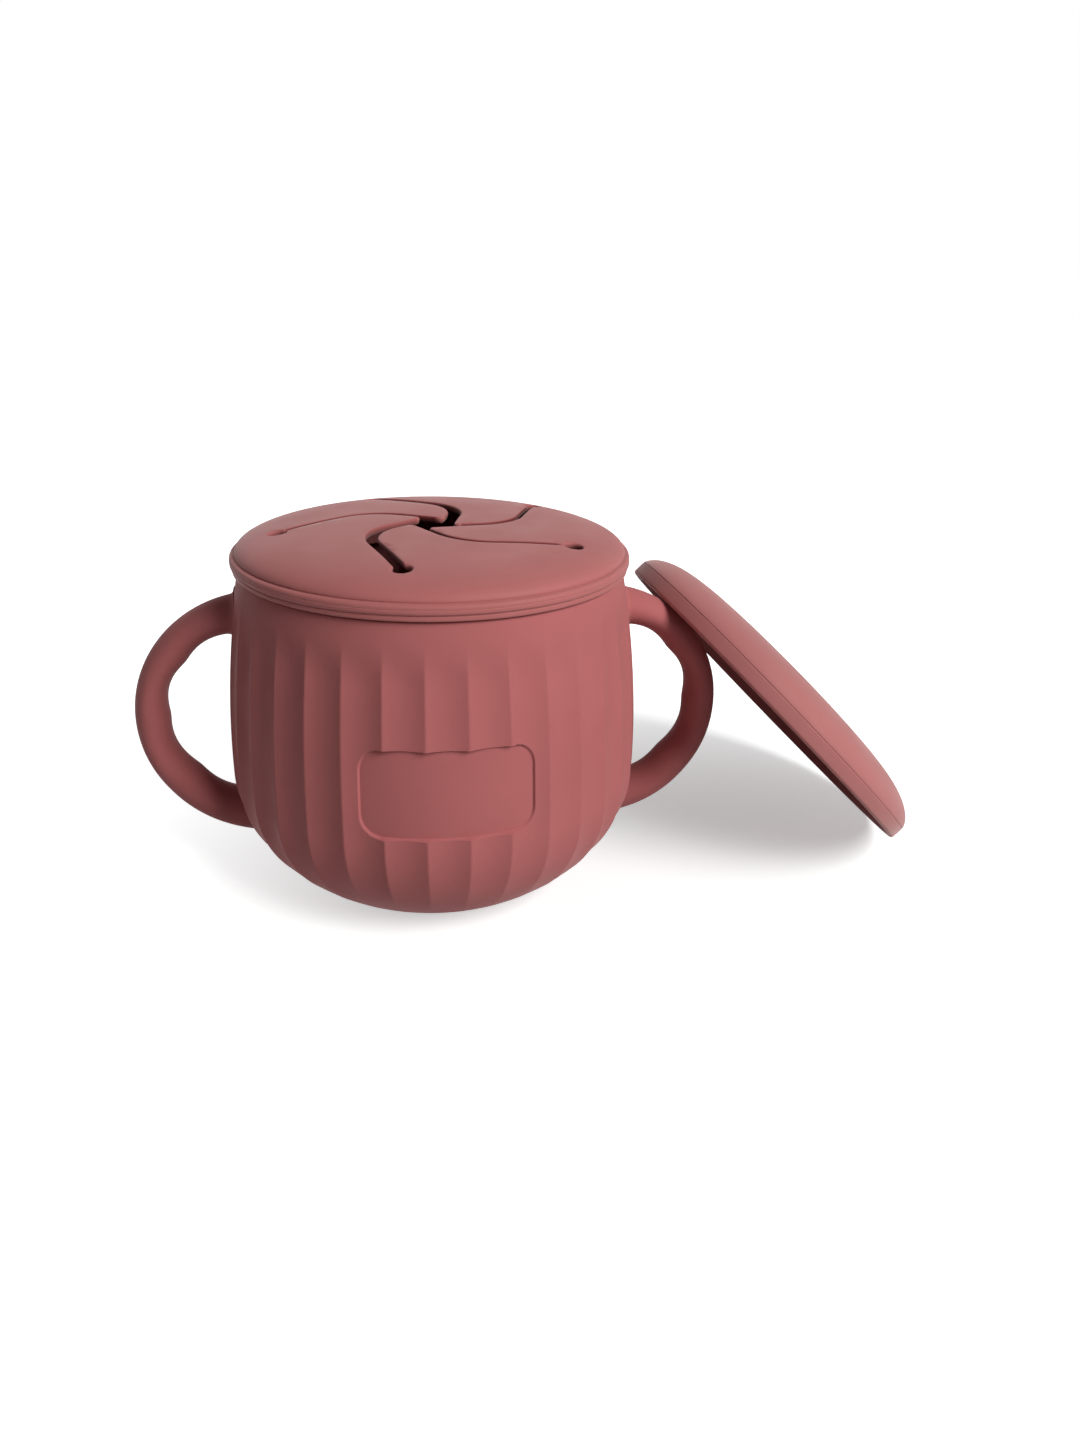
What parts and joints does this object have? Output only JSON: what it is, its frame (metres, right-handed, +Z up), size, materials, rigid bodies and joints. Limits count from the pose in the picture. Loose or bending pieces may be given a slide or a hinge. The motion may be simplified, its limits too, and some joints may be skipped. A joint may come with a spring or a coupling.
{
  "type": "toddler snack cup",
  "caption": "Round fluted silicone snack cup with finger-grip handles, a press-on lid whose curved flaps part for a small hand, and a domed dust cover leaning beside it.",
  "frame": {"origin": "centre of the cup's foot on the surface it stands on", "axes": "+X towards the handle that the dust cover leans on, -Y towards the plaque side, +Z up"},
  "size_m": [0.1956, 0.1091, 0.0874],
  "materials": {
    "cup_silicone": "matte silicone",
    "lid_silicone": "matte silicone",
    "cover_silicone": "matte silicone"
  },
  "bodies": {
    "cup": {"cup_body": "cup_silicone", "left_handle": "cup_silicone", "right_handle": "cup_silicone"},
    "lid": {"snack_lid": "lid_silicone"},
    "petal_1": {"flap_1": "lid_silicone"},
    "petal_2": {"flap_2": "lid_silicone"},
    "petal_3": {"flap_3": "lid_silicone"},
    "petal_4": {"flap_4": "lid_silicone"},
    "petal_5": {"flap_5": "lid_silicone"},
    "cover": {"dust_cover": "cover_silicone"}
  },
  "joints": [
    {"name": "snack_lid_lift", "type": "slide", "parent": "cup", "child": "lid", "axis": [0, 0, 1], "range_m": [0, 0.045]},
    {"name": "flap_1_bend", "type": "hinge", "parent": "lid", "child": "petal_1", "pos_m": [-0.00772, -0.03342, 0.08498], "axis": [0.8793, 0.4758, 0.0217], "range_deg": [-55, 30], "stiffness_Nm_per_rad": 0.008},
    {"name": "flap_2_bend", "type": "hinge", "parent": "lid", "child": "petal_2", "pos_m": [0.0294, -0.01767, 0.08498], "axis": [-0.1808, 0.9833, 0.0217], "range_deg": [-55, 30], "stiffness_Nm_per_rad": 0.008},
    {"name": "flap_3_bend", "type": "hinge", "parent": "lid", "child": "petal_3", "pos_m": [0.02589, 0.0225, 0.08498], "axis": [-0.991, 0.1319, 0.0217], "range_deg": [-55, 30], "stiffness_Nm_per_rad": 0.008},
    {"name": "flap_4_bend", "type": "hinge", "parent": "lid", "child": "petal_4", "pos_m": [-0.0134, 0.03157, 0.08498], "axis": [-0.4317, -0.9018, 0.0217], "range_deg": [-55, 30], "stiffness_Nm_per_rad": 0.008},
    {"name": "flap_5_bend", "type": "hinge", "parent": "lid", "child": "petal_5", "pos_m": [-0.03417, -0.00299, 0.08498], "axis": [0.7242, -0.6892, 0.0217], "range_deg": [-55, 30], "stiffness_Nm_per_rad": 0.008},
    {"name": "dust_cover_tip", "type": "hinge", "parent": "cup", "child": "cover", "pos_m": [0.1224, 0.01362, 0], "axis": [-0.061, 0.9981, 0], "range_deg": [0, 44]}
  ]
}
